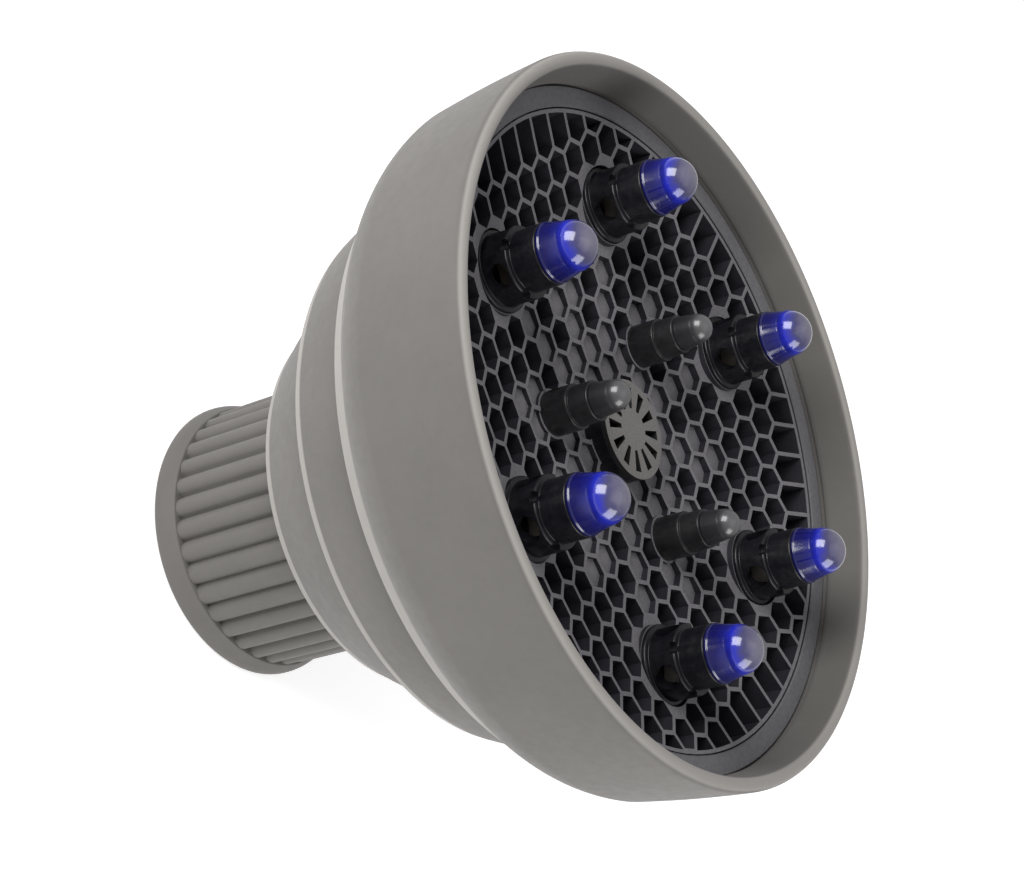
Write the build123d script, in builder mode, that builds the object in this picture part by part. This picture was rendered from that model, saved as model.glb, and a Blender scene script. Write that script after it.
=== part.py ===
"""Collapsible hair-dryer diffuser.

A silicone body of four telescoping stages (fluted neck, rear shell, middle shell, front shell)
carries a dished honeycomb grille with six tall prongs, three short prongs and a vented hub.

Frame: origin at the centre of the neck's rear face, +Z along the air flow, towards the prongs.
Units: millimetres. The body is drawn fully open, which is its rest state.
"""
from build123d import *
import os
from math import cos, hypot, radians, sin, sqrt

# ---------------------------------------------------------------- driving dimensions
RIM_RADIUS = 77.8          # outside of the front lip
RIM_HEIGHT = 122.0         # neck rear face to front lip
SHELL_WALL = 2.2           # silicone wall of every shell
STAGE_GAP = 2.0            # radial room between a shell and the next one inside it

NECK_BORE_RADIUS = 25.0    # relaxed bore, stretched over the dryer nozzle
NECK_WALL = 4.0            # bore to the root between the ribs
NECK_FLUTED_LENGTH = 40.0  # rear face to the smooth collar
RIB_COUNT = 36
RIB_RADIUS = 2.4           # round top of a rib
RIB_SINK = 0.7             # how far a rib's centre lies under the root
BEAD_RADIUS = 32.2         # thick rolled end of the neck
BEAD_HEIGHT = 5.4
BEAD_EDGE_HEIGHT = 2.2     # upright part of the bead, under its sloping shoulder
SHOULDER_RISE = 1.9        # shoulder's top above the rib root
COLLAR_RISE = 3.0          # smooth band between the ribs and the rear shell
COLLAR_HEIGHT = 3.0

REAR_SHELL_BASE_Z = 42.4   # rear edge heights of the three shells
MIDDLE_SHELL_BASE_Z = 65.4
FRONT_SHELL_BASE_Z = 83.6
REAR_SHELL_RADIUS = 42.0   # outside radii at those edges
MIDDLE_SHELL_RADIUS = 58.5
FRONT_SHELL_RADIUS = 67.6
SHELL_TUCK = 2.0           # how far a shell reaches inside the next one
STEP_BAND_HEIGHT = 3.6     # sloping band round the rear edge of the front shell
STEP_BAND_RISE = 1.8       # radius gained over that band
SMALL_BAND_HEIGHT = 1.2    # the same band on the two smaller shells
SMALL_BAND_RISE = 0.6
SMALL_BULGE = 0.9          # how far the two smaller shells bow outwards
FRONT_SHOULDER_INSET = 1.9 # rim radius less the front shell's radius at its rounded shoulder
FRONT_SHOULDER_HEIGHT = 9.3  # sloping band to that shoulder
FRONT_SHOULDER_BULGE = 1.5

LIP_WIDTH = 3.3            # rolled front lip, inside to outside
LIP_DEPTH = 8.0            # lip front to the edge above the grille ring

GRILLE_RADIUS = 68.6       # honeycomb body
GRILLE_DISH = 8.0          # how far its centre lies below its edge
GRILLE_THICKNESS = 7.0
GRILLE_EDGE_Z = 111.5      # top of the honeycomb at its edge
GRILLE_RIM_WALL = 0.8
CELL_PITCH = 7.15
CELL_WALL = 0.95
CELL_RINGS = 9             # whole cells from the centre to each corner
POCKET_DEPTH = 1.3         # closed cells round the centre are shallow pockets
FLANGE_RADIUS = 71.6
FLANGE_HEIGHT = 3.0
RING_RADIUS = 73.6         # flat retaining ring over the flange
RING_HEIGHT = 2.8
SEAT_CLEARANCE = 0.3       # silicone seat round the ring and the flange
LEDGE_REACH = 1.8          # how far the silicone ledge reaches under the flange
LEDGE_THICKNESS = 1.6

PRONG_COUNT = 6
PRONG_SITE = 7             # cells from the centre to each tall prong
PRONG_COLLAR_RADIUS = 8.5
PRONG_COLLAR_HEIGHT = 1.0
PRONG_BASE_RADIUS = 7.5
PRONG_BASE_HEIGHT = 7.2
PRONG_STEM_RADIUS = 6.3
PRONG_STEM_HEIGHT = 13.0
PRONG_HOLE_RADIUS = 2.6
PRONG_TIP_SKIRT_RADIUS = 6.2
PRONG_TIP_DOME_RADIUS = 5.15
PRONG_DOME_HEIGHT = 17.5   # pad to the centre of the dome
PRONG_WALL = 1.6
NOTCH_COUNT = 4            # scallops in the step between base and stem
NOTCH_RADIUS = 1.3
NOTCH_DEPTH = 1.2

INNER_COUNT = 3
INNER_BASE_RADIUS = 4.75
INNER_BASE_HEIGHT = 6.2
INNER_STEM_RADIUS = 4.2
INNER_STEM_HEIGHT = 10.8
INNER_TIP_RADIUS = 3.75
INNER_DOME_RADIUS = 3.15
INNER_DOME_HEIGHT = 14.9
INNER_WALL = 1.2
INNER_SPIGOT_RADIUS = 3.6  # foot of the short prong in its socket

HUB_RADIUS = 10.6
HUB_RISE = 3.1             # hub wall above the honeycomb centre
HUB_WALL = 1.2
CAP_RADIUS = 10.8
CAP_THICKNESS = 1.2
CAP_SLOTS = 12
CAP_SLOT_INNER = 4.6
CAP_SLOT_OUTER = 9.2
CAP_SLOT_INNER_WIDTH = 0.9
CAP_SLOT_OUTER_WIDTH = 2.1

FIT_GAP = 0.05             # radial room of a spigot in its socket
SPIGOT_DEPTH = 3.0         # spigots and sockets of the prongs and tips
WEB_THICKNESS = 1.0
WEB_CLEARANCE = 0.5        # fold web to the shell that slides past it

# ---------------------------------------------------------------- derived places
GRILLE_CENTRE_Z = GRILLE_EDGE_Z - GRILLE_DISH
DISH_RATE = GRILLE_DISH / GRILLE_RADIUS**2
ROW_PITCH = CELL_PITCH * sqrt(3) / 2
CELL_APOTHEM = (CELL_PITCH - CELL_WALL) / 2
CELL_CORNER = CELL_APOTHEM * 2 / sqrt(3)
PRONG_CIRCLE = PRONG_SITE * CELL_PITCH
INNER_CIRCLE = 2 * sqrt(3) * CELL_PITCH
PAD_RADIUS = PRONG_COLLAR_RADIUS + 0.2
INNER_PAD_RADIUS = INNER_BASE_RADIUS + 0.5
FLANGE_TOP_Z = GRILLE_EDGE_Z - 2.5
RING_BASE_Z = FLANGE_TOP_Z + 0.2
RING_TOP_Z = RING_BASE_Z + RING_HEIGHT
HUB_TOP_Z = GRILLE_CENTRE_Z + HUB_RISE
RIB_ROOT_RADIUS = NECK_BORE_RADIUS + NECK_WALL
COLLAR_RADIUS = RIB_ROOT_RADIUS + COLLAR_RISE
FLANGE_BASE_Z = NECK_FLUTED_LENGTH + COLLAR_HEIGHT
NECK_FLANGE_RADIUS = REAR_SHELL_RADIUS - SHELL_WALL - STAGE_GAP / 2


def dish_height(radius):
    """Height of the honeycomb's front surface at a radius."""
    return GRILLE_CENTRE_Z + DISH_RATE * radius**2


PAD_Z = dish_height(PRONG_CIRCLE)
INNER_PAD_Z = dish_height(INNER_CIRCLE)


def save(piece, name):
    """Label a finished piece and write it to its own file."""
    piece.part.label = name
    export_step(piece.part, f"parts/{name}.step")


os.makedirs("parts", exist_ok=True)


# ---------------------------------------------------------------- silicone stages
def shell_outline(base_radius, base_z, top_radius, top_z):
    """Closed section of one stepped shell: sloping band at the rear edge, then a bowed cone."""
    edge_round = 0.6
    band_radius = base_radius + SMALL_BAND_RISE
    band_z = base_z + edge_round + SMALL_BAND_HEIGHT
    bow_radius = (band_radius + top_radius) / 2 + SMALL_BULGE
    bow_z = (band_z + top_z) / 2
    Polyline(
        (base_radius - SHELL_WALL, base_z),
        (base_radius - edge_round, base_z),
        (base_radius, base_z + edge_round),
        (band_radius, band_z),
    )
    ThreePointArc((band_radius, band_z), (bow_radius, bow_z), (top_radius, top_z))
    Line((top_radius, top_z), (top_radius - SHELL_WALL, top_z))
    ThreePointArc(
        (top_radius - SHELL_WALL, top_z),
        (bow_radius - SHELL_WALL, bow_z),
        (base_radius - SHELL_WALL, base_z),
    )


# Neck: thick end bead, convex ribs, smooth collar and the flange that folds into the rear shell
with BuildPart() as neck_sleeve:
    with BuildSketch(Plane.XZ):
        with BuildLine():
            Polyline(
                (NECK_BORE_RADIUS, 0),
                (BEAD_RADIUS, 0),
                (BEAD_RADIUS, BEAD_EDGE_HEIGHT),
                (RIB_ROOT_RADIUS + SHOULDER_RISE, BEAD_HEIGHT),
                (RIB_ROOT_RADIUS, BEAD_HEIGHT),
                (RIB_ROOT_RADIUS, NECK_FLUTED_LENGTH),
                (COLLAR_RADIUS, NECK_FLUTED_LENGTH),
                (COLLAR_RADIUS, FLANGE_BASE_Z),
                (NECK_FLANGE_RADIUS, FLANGE_BASE_Z + 0.8),
                (NECK_FLANGE_RADIUS, FLANGE_BASE_Z + SHELL_WALL),
                (NECK_BORE_RADIUS, FLANGE_BASE_Z + SHELL_WALL),
                close=True,
            )
        make_face()
    revolve(axis=Axis.Z)
    bead_edges = neck_sleeve.edges().filter_by(GeomType.CIRCLE).filter_by(
        lambda edge: abs(edge.radius - BEAD_RADIUS) < 0.01
    )
    fillet(bead_edges, radius=BEAD_EDGE_HEIGHT * 0.45)
    with BuildSketch(Plane.XY.offset(BEAD_HEIGHT - 0.5)):
        with PolarLocations(RIB_ROOT_RADIUS - RIB_SINK, RIB_COUNT):
            Circle(RIB_RADIUS)
    extrude(amount=NECK_FLUTED_LENGTH - BEAD_HEIGHT + 1.0)
save(neck_sleeve, "neck_sleeve")

# Rear shell: smallest cone, its front end tucked inside the middle shell
REAR_SHELL_TOP_Z = MIDDLE_SHELL_BASE_Z + SHELL_TUCK
REAR_SHELL_TOP_RADIUS = MIDDLE_SHELL_RADIUS - SHELL_WALL - STAGE_GAP
with BuildPart() as rear_shell:
    with BuildSketch(Plane.XZ):
        with BuildLine():
            shell_outline(
                REAR_SHELL_RADIUS, REAR_SHELL_BASE_Z, REAR_SHELL_TOP_RADIUS, REAR_SHELL_TOP_Z
            )
        make_face()
    revolve(axis=Axis.Z)
save(rear_shell, "rear_shell")

# Middle shell: its front end tucked inside the front shell
MIDDLE_SHELL_TOP_Z = FRONT_SHELL_BASE_Z + SHELL_TUCK
MIDDLE_SHELL_TOP_RADIUS = FRONT_SHELL_RADIUS - SHELL_WALL - STAGE_GAP
with BuildPart() as middle_shell:
    with BuildSketch(Plane.XZ):
        with BuildLine():
            shell_outline(
                MIDDLE_SHELL_RADIUS, MIDDLE_SHELL_BASE_Z, MIDDLE_SHELL_TOP_RADIUS, MIDDLE_SHELL_TOP_Z
            )
        make_face()
    revolve(axis=Axis.Z)
save(middle_shell, "middle_shell")

# Front shell: bowed cone with a rolled lip, and inside it the seat for the grille
LIP_RADIUS = LIP_WIDTH / 2
LIP_CENTRE_Z = RIM_HEIGHT - LIP_RADIUS
BAND_TOP_RADIUS = FRONT_SHELL_RADIUS + STEP_BAND_RISE
BAND_TOP_Z = FRONT_SHELL_BASE_Z + STEP_BAND_HEIGHT
FRONT_SHOULDER_RADIUS = RIM_RADIUS - FRONT_SHOULDER_INSET
FRONT_SHOULDER_Z = BAND_TOP_Z + FRONT_SHOULDER_HEIGHT
BOW_MID_RADIUS = (BAND_TOP_RADIUS + FRONT_SHOULDER_RADIUS) / 2 + FRONT_SHOULDER_BULGE / 2
BOW_MID_Z = (BAND_TOP_Z + FRONT_SHOULDER_Z) / 2 - FRONT_SHOULDER_BULGE / 2
EDGE_RADIUS = RIM_RADIUS - LIP_WIDTH - 1.1
RING_SEAT_RADIUS = RING_RADIUS + SEAT_CLEARANCE
FLANGE_SEAT_RADIUS = FLANGE_RADIUS + SEAT_CLEARANCE
FLANGE_SEAT_Z = FLANGE_TOP_Z - FLANGE_HEIGHT - 0.1
LEDGE_RADIUS = FLANGE_RADIUS - LEDGE_REACH
with BuildPart() as front_shell:
    with BuildSketch(Plane.XZ):
        with BuildLine():
            Line(
                (FRONT_SHELL_RADIUS - SHELL_WALL, FRONT_SHELL_BASE_Z),
                (FRONT_SHELL_RADIUS, FRONT_SHELL_BASE_Z),
            )
            Line((FRONT_SHELL_RADIUS, FRONT_SHELL_BASE_Z), (BAND_TOP_RADIUS, BAND_TOP_Z))
            ThreePointArc(
                (BAND_TOP_RADIUS, BAND_TOP_Z),
                (BOW_MID_RADIUS, BOW_MID_Z),
                (FRONT_SHOULDER_RADIUS, FRONT_SHOULDER_Z),
            )
            Line((FRONT_SHOULDER_RADIUS, FRONT_SHOULDER_Z), (RIM_RADIUS, LIP_CENTRE_Z))
            ThreePointArc(
                (RIM_RADIUS, LIP_CENTRE_Z),
                (RIM_RADIUS - LIP_RADIUS, RIM_HEIGHT),
                (RIM_RADIUS - LIP_WIDTH, LIP_CENTRE_Z),
            )
            Polyline(
                (RIM_RADIUS - LIP_WIDTH, LIP_CENTRE_Z),
                (EDGE_RADIUS, RIM_HEIGHT - LIP_DEPTH),
                (EDGE_RADIUS, RIM_HEIGHT - LIP_DEPTH - 0.8),
                (RING_SEAT_RADIUS, RIM_HEIGHT - LIP_DEPTH - 1.4),
                (RING_SEAT_RADIUS, RING_BASE_Z - 0.1),
                (FLANGE_SEAT_RADIUS, RING_BASE_Z - 0.1),
                (FLANGE_SEAT_RADIUS, FLANGE_SEAT_Z),
                (LEDGE_RADIUS, FLANGE_SEAT_Z),
                (LEDGE_RADIUS, FLANGE_SEAT_Z - LEDGE_THICKNESS),
                (FRONT_SHOULDER_RADIUS - SHELL_WALL, FRONT_SHOULDER_Z),
                (BOW_MID_RADIUS - SHELL_WALL, BOW_MID_Z),
                (BAND_TOP_RADIUS - SHELL_WALL, BAND_TOP_Z),
                (FRONT_SHELL_RADIUS - SHELL_WALL, FRONT_SHELL_BASE_Z),
            )
        make_face()
    revolve(axis=Axis.Z)
save(front_shell, "front_shell")


# ---------------------------------------------------------------- fold webs between the stages
def fold_web(outer_radius, inner_radius, height):
    """Thin ring of silicone that closes the gap between two stages and rolls as they slide."""
    with BuildPart() as web:
        with BuildSketch(Plane.XY.offset(height)):
            Circle(outer_radius)
            Circle(inner_radius, mode=Mode.SUBTRACT)
        extrude(amount=WEB_THICKNESS)
    return web


WEBS = {
    "fold_web_front": (FRONT_SHELL_RADIUS - SHELL_WALL, MIDDLE_SHELL_TOP_RADIUS, FRONT_SHELL_BASE_Z),
    "fold_web_middle": (MIDDLE_SHELL_RADIUS - SHELL_WALL, REAR_SHELL_TOP_RADIUS, MIDDLE_SHELL_BASE_Z),
    "fold_web_rear": (REAR_SHELL_RADIUS - SHELL_WALL, NECK_FLANGE_RADIUS, REAR_SHELL_BASE_Z),
}
for web_name, (shell_bore, next_radius, base_z) in WEBS.items():
    room = min(WEB_CLEARANCE, (shell_bore - next_radius) / 2)
    save(fold_web(shell_bore, next_radius + room, base_z), web_name)


# ---------------------------------------------------------------- honeycomb grille
def cell_centre(i, j):
    """Place of a cell in the hexagonal grid, rows along X."""
    return (CELL_PITCH * (i + j / 2), ROW_PITCH * j)


def ring_of(i, j):
    """Ring number of a cell, counted from the centre."""
    return max(abs(i), abs(j), abs(i + j))


def place_in_side(i, j):
    """How far along its side of the ring a cell lies, from 0 at one corner to the ring number."""
    ring = ring_of(i, j)
    smallest = min(abs(i), abs(j), abs(i + j))
    return min(smallest, ring - smallest)


def is_closed(i, j):
    """Closed cells: a hexagon round the hub with twelve short rays."""
    ring = ring_of(i, j)
    from_corner = place_in_side(i, j)
    on_corner_ray = from_corner == 0 and ring <= 5
    on_middle_ray = abs(from_corner - ring / 2) <= 0.5 and ring <= 6
    return ring <= 3 or on_corner_ray or on_middle_ray


def polar(radius, angle):
    """Point at a radius and an angle in degrees."""
    return (radius * cos(radians(angle)), radius * sin(radians(angle)))


PRONG_ANGLES = [360 / PRONG_COUNT * k for k in range(PRONG_COUNT)]
INNER_ANGLES = [90 + 360 / INNER_COUNT * k for k in range(INNER_COUNT)]
PRONG_POINTS = [polar(PRONG_CIRCLE, angle) for angle in PRONG_ANGLES]
INNER_POINTS = [polar(INNER_CIRCLE, angle) for angle in INNER_ANGLES]


def under_a_pad(point):
    """True where a cell lies wholly or mostly under the hub or a prong."""
    pads = [((0, 0), HUB_RADIUS + HUB_WALL)]
    pads += [(centre, PAD_RADIUS) for centre in PRONG_POINTS]
    pads += [(centre, INNER_PAD_RADIUS) for centre in INNER_POINTS]
    return any(hypot(point[0] - c[0], point[1] - c[1]) < r for c, r in pads)


GRID = range(-CELL_RINGS, CELL_RINGS + 1)
CELLS = [(i, j) for i in GRID for j in GRID if ring_of(i, j) <= CELL_RINGS]
OPEN_CELLS = [cell_centre(i, j) for i, j in CELLS if not is_closed(i, j)]
OPEN_CELLS = [point for point in OPEN_CELLS if not under_a_pad(point)]
CLOSED_CELLS = [cell_centre(i, j) for i, j in CELLS if is_closed(i, j)]
CLOSED_CELLS = [point for point in CLOSED_CELLS if not under_a_pad(point)]

# Slots outside the six straight sides, as places (along the side, out from the centre)
SLOT_ROW = (CELL_RINGS + 1) * ROW_PITCH
SLOT_PLACES = [(m - (CELL_RINGS + 1) / 2) * CELL_PITCH for m in range(1, CELL_RINGS + 1)]

with BuildPart() as honeycomb_panel:
    with BuildSketch(Plane.XZ):
        with BuildLine():
            mid = GRILLE_RADIUS / 2
            Line((0, GRILLE_CENTRE_Z - GRILLE_THICKNESS), (0, GRILLE_CENTRE_Z))
            ThreePointArc((0, GRILLE_CENTRE_Z), (mid, dish_height(mid)), (GRILLE_RADIUS, GRILLE_EDGE_Z))
            Polyline(
                (GRILLE_RADIUS, GRILLE_EDGE_Z),
                (GRILLE_RADIUS, FLANGE_TOP_Z),
                (FLANGE_RADIUS, FLANGE_TOP_Z),
                (FLANGE_RADIUS, FLANGE_TOP_Z - FLANGE_HEIGHT),
                (GRILLE_RADIUS, FLANGE_TOP_Z - FLANGE_HEIGHT),
                (GRILLE_RADIUS, GRILLE_EDGE_Z - GRILLE_THICKNESS),
            )
            ThreePointArc(
                (GRILLE_RADIUS, GRILLE_EDGE_Z - GRILLE_THICKNESS),
                (mid, dish_height(mid) - GRILLE_THICKNESS),
                (0, GRILLE_CENTRE_Z - GRILLE_THICKNESS),
            )
        make_face()
    revolve(axis=Axis.Z)
    # open cells and edge slots, right through
    with BuildSketch(Plane.XY.offset(GRILLE_CENTRE_Z - 2 * GRILLE_THICKNESS)):
        with Locations(*OPEN_CELLS):
            RegularPolygon(CELL_CORNER, 6, rotation=30)
        for side in range(6):
            turn = 60 * side - 60
            with Locations(Location((0, 0, 0), (0, 0, turn))):
                with Locations(*[(along, SLOT_ROW) for along in SLOT_PLACES]):
                    Polygon(
                        (0, -CELL_CORNER),
                        (CELL_APOTHEM, -CELL_CORNER / 2),
                        (CELL_APOTHEM, 2 * CELL_PITCH),
                        (-CELL_APOTHEM, 2 * CELL_PITCH),
                        (-CELL_APOTHEM, -CELL_CORNER / 2),
                        align=None,
                    )
        Circle(GRILLE_RADIUS - GRILLE_RIM_WALL, mode=Mode.INTERSECT)
    extrude(amount=4 * GRILLE_THICKNESS, clean=False, mode=Mode.SUBTRACT)
    # shallow closed cells
    pocket_floors = [
        Plane(origin=(x, y, dish_height(hypot(x, y)) - POCKET_DEPTH)) for x, y in CLOSED_CELLS
    ]
    with BuildSketch(*pocket_floors):
        RegularPolygon(CELL_CORNER, 6, rotation=30)
    extrude(amount=2 * POCKET_DEPTH, clean=False, mode=Mode.SUBTRACT)
    # solid pads under the prongs, with their sockets
    for points, pad_z, pad_radius, socket_radius in (
        (PRONG_POINTS, PAD_Z, PAD_RADIUS, PRONG_STEM_RADIUS),
        (INNER_POINTS, INNER_PAD_Z, INNER_PAD_RADIUS, INNER_SPIGOT_RADIUS),
    ):
        with BuildSketch(Plane.XY.offset(pad_z - GRILLE_THICKNESS)):
            with Locations(*points):
                Circle(pad_radius)
        extrude(amount=GRILLE_THICKNESS, clean=False)
        with BuildSketch(Plane.XY.offset(pad_z)):
            with Locations(*points):
                Circle(pad_radius)
        extrude(amount=GRILLE_THICKNESS, clean=False, mode=Mode.SUBTRACT)
        with BuildSketch(Plane.XY.offset(pad_z - 2 * GRILLE_THICKNESS)):
            with Locations(*points):
                Circle(socket_radius + FIT_GAP)
        extrude(amount=2 * GRILLE_THICKNESS, clean=False, mode=Mode.SUBTRACT)
    # hub socket
    with BuildSketch(Plane.XY.offset(GRILLE_CENTRE_Z - 2 * GRILLE_THICKNESS)):
        Circle(HUB_RADIUS + FIT_GAP)
    extrude(amount=4 * GRILLE_THICKNESS, clean=False, mode=Mode.SUBTRACT)
save(honeycomb_panel, "honeycomb_panel")

with BuildPart() as retaining_ring:
    with BuildSketch(Plane.XY.offset(RING_BASE_Z)):
        Circle(RING_RADIUS)
        Circle(GRILLE_RADIUS + SEAT_CLEARANCE, mode=Mode.SUBTRACT)
    extrude(amount=RING_HEIGHT)
    chamfer(retaining_ring.faces().sort_by(Axis.Z)[-1].edges(), length=0.3)
save(retaining_ring, "retaining_ring")

# ---------------------------------------------------------------- hub and vented cap
with BuildPart() as centre_hub:
    with BuildSketch(Plane.XY.offset(GRILLE_CENTRE_Z - GRILLE_THICKNESS)):
        Circle(HUB_RADIUS)
        Circle(HUB_RADIUS - HUB_WALL, mode=Mode.SUBTRACT)
    extrude(amount=HUB_TOP_Z - GRILLE_CENTRE_Z + GRILLE_THICKNESS)
save(centre_hub, "centre_hub")

with BuildPart() as vent_cap:
    with BuildSketch(Plane.XY.offset(HUB_TOP_Z)):
        Circle(CAP_RADIUS)
        with PolarLocations(0, CAP_SLOTS):
            Polygon(
                (CAP_SLOT_INNER, -CAP_SLOT_INNER_WIDTH / 2),
                (CAP_SLOT_OUTER, -CAP_SLOT_OUTER_WIDTH / 2),
                (CAP_SLOT_OUTER, CAP_SLOT_OUTER_WIDTH / 2),
                (CAP_SLOT_INNER, CAP_SLOT_INNER_WIDTH / 2),
                align=None,
                mode=Mode.SUBTRACT,
            )
    extrude(amount=CAP_THICKNESS)
save(vent_cap, "vent_cap")


# ---------------------------------------------------------------- prongs
def tall_prong(centre):
    """Hollow prong: collar, drilled wide base, narrower stem and a spigot for its tip."""
    plane = Plane(origin=(centre[0], centre[1], PAD_Z), x_dir=(1, 0, 0), z_dir=(0, -1, 0))
    spigot = PRONG_STEM_RADIUS - PRONG_WALL
    with BuildPart() as prong:
        with BuildSketch(plane):
            with BuildLine():
                Polyline(
                    (PRONG_STEM_RADIUS - PRONG_WALL, -SPIGOT_DEPTH),
                    (PRONG_STEM_RADIUS, -SPIGOT_DEPTH),
                    (PRONG_STEM_RADIUS, 0),
                    (PRONG_COLLAR_RADIUS, 0),
                    (PRONG_COLLAR_RADIUS, PRONG_COLLAR_HEIGHT * 0.7),
                    (PRONG_COLLAR_RADIUS - PRONG_COLLAR_HEIGHT * 0.3, PRONG_COLLAR_HEIGHT),
                    (PRONG_BASE_RADIUS, PRONG_COLLAR_HEIGHT),
                    (PRONG_BASE_RADIUS, PRONG_BASE_HEIGHT - 0.4),
                    (PRONG_BASE_RADIUS - 0.4, PRONG_BASE_HEIGHT),
                    (PRONG_STEM_RADIUS, PRONG_BASE_HEIGHT),
                    (PRONG_STEM_RADIUS, PRONG_STEM_HEIGHT),
                    (spigot, PRONG_STEM_HEIGHT),
                    (spigot, PRONG_STEM_HEIGHT + SPIGOT_DEPTH),
                    (spigot - PRONG_WALL, PRONG_STEM_HEIGHT + SPIGOT_DEPTH),
                    (spigot - PRONG_WALL, PRONG_BASE_HEIGHT),
                    (PRONG_STEM_RADIUS - PRONG_WALL, PRONG_BASE_HEIGHT - PRONG_WALL),
                    close=True,
                )
            make_face()
        revolve(axis=Axis((centre[0], centre[1], 0), (0, 0, 1)))
        hole_z = PAD_Z + (PRONG_COLLAR_HEIGHT + PRONG_BASE_HEIGHT) / 2
        for direction in ((1, 0, 0), (0, 1, 0)):
            side = Plane(origin=(centre[0], centre[1], hole_z), z_dir=direction)
            with BuildSketch(side):
                Circle(PRONG_HOLE_RADIUS)
            extrude(amount=2 * PRONG_BASE_RADIUS, both=True, mode=Mode.SUBTRACT)
        step = Plane(origin=(centre[0], centre[1], PAD_Z + PRONG_BASE_HEIGHT))
        with BuildSketch(step):
            with PolarLocations(PRONG_BASE_RADIUS, NOTCH_COUNT, start_angle=180 / NOTCH_COUNT):
                Circle(NOTCH_RADIUS)
        extrude(amount=-NOTCH_DEPTH, mode=Mode.SUBTRACT)
    return prong


def tall_prong_tip(centre):
    """Translucent cap of a tall prong: tapered skirt, round dome and a socket for the spigot."""
    plane = Plane(origin=(centre[0], centre[1], PAD_Z), x_dir=(1, 0, 0), z_dir=(0, -1, 0))
    socket = PRONG_STEM_RADIUS - PRONG_WALL + FIT_GAP
    with BuildPart() as tip:
        with BuildSketch(plane):
            with BuildLine():
                Polyline(
                    (0, PRONG_DOME_HEIGHT + PRONG_TIP_DOME_RADIUS),
                    (0, PRONG_STEM_HEIGHT + SPIGOT_DEPTH + 2 * FIT_GAP),
                    (socket, PRONG_STEM_HEIGHT + SPIGOT_DEPTH + 2 * FIT_GAP),
                    (socket, PRONG_STEM_HEIGHT + FIT_GAP),
                    (PRONG_TIP_SKIRT_RADIUS, PRONG_STEM_HEIGHT + FIT_GAP),
                    (PRONG_TIP_DOME_RADIUS, PRONG_DOME_HEIGHT),
                )
                RadiusArc(
                    (PRONG_TIP_DOME_RADIUS, PRONG_DOME_HEIGHT),
                    (0, PRONG_DOME_HEIGHT + PRONG_TIP_DOME_RADIUS),
                    -PRONG_TIP_DOME_RADIUS,
                )
            make_face()
        revolve(axis=Axis((centre[0], centre[1], 0), (0, 0, 1)))
    return tip


def short_prong(centre):
    """Short prong: plain base, slimmer stem and a spigot for its tip."""
    plane = Plane(origin=(centre[0], centre[1], INNER_PAD_Z), x_dir=(1, 0, 0), z_dir=(0, -1, 0))
    spigot = INNER_STEM_RADIUS - INNER_WALL
    with BuildPart() as prong:
        with BuildSketch(plane):
            with BuildLine():
                Polyline(
                    (0, -SPIGOT_DEPTH),
                    (INNER_SPIGOT_RADIUS, -SPIGOT_DEPTH),
                    (INNER_SPIGOT_RADIUS, 0),
                    (INNER_BASE_RADIUS, 0),
                    (INNER_BASE_RADIUS, INNER_BASE_HEIGHT - 0.3),
                    (INNER_BASE_RADIUS - 0.3, INNER_BASE_HEIGHT),
                    (INNER_STEM_RADIUS, INNER_BASE_HEIGHT),
                    (INNER_STEM_RADIUS, INNER_STEM_HEIGHT),
                    (spigot, INNER_STEM_HEIGHT),
                    (spigot, INNER_STEM_HEIGHT + SPIGOT_DEPTH),
                    (0, INNER_STEM_HEIGHT + SPIGOT_DEPTH),
                    close=True,
                )
            make_face()
        revolve(axis=Axis((centre[0], centre[1], 0), (0, 0, 1)))
    return prong


def short_prong_tip(centre):
    """Domed cap of a short prong, with a socket for the spigot."""
    plane = Plane(origin=(centre[0], centre[1], INNER_PAD_Z), x_dir=(1, 0, 0), z_dir=(0, -1, 0))
    socket = INNER_STEM_RADIUS - INNER_WALL + FIT_GAP
    with BuildPart() as tip:
        with BuildSketch(plane):
            with BuildLine():
                Polyline(
                    (0, INNER_DOME_HEIGHT + INNER_DOME_RADIUS),
                    (0, INNER_STEM_HEIGHT + SPIGOT_DEPTH + 2 * FIT_GAP),
                    (socket, INNER_STEM_HEIGHT + SPIGOT_DEPTH + 2 * FIT_GAP),
                    (socket, INNER_STEM_HEIGHT + FIT_GAP),
                    (INNER_TIP_RADIUS, INNER_STEM_HEIGHT + FIT_GAP),
                    (INNER_DOME_RADIUS, INNER_DOME_HEIGHT),
                )
                RadiusArc(
                    (INNER_DOME_RADIUS, INNER_DOME_HEIGHT),
                    (0, INNER_DOME_HEIGHT + INNER_DOME_RADIUS),
                    -INNER_DOME_RADIUS,
                )
            make_face()
        revolve(axis=Axis((centre[0], centre[1], 0), (0, 0, 1)))
    return tip


for number, point in enumerate(PRONG_POINTS, start=1):
    save(tall_prong(point), f"prong_{number}")
    save(tall_prong_tip(point), f"prong_tip_{number}")
for number, point in enumerate(INNER_POINTS, start=1):
    save(short_prong(point), f"inner_prong_{number}")
    save(short_prong_tip(point), f"inner_prong_tip_{number}")
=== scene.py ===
"""Collapsible hair-dryer diffuser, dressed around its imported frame.

A silicone body of telescoping stages carries a dished honeycomb grille, six tall prongs with
translucent blue tips, three short prongs with dark tips and a vented hub. Lengths are in metres,
in the frame's own coordinates: +Z runs from the neck to the prongs.
"""

import logging
import math
from dataclasses import dataclass, field
from enum import Enum
from typing import Sequence

import bmesh
import bpy
import numpy as np
from mathutils import Matrix, Vector
from numpy.typing import NDArray


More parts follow.
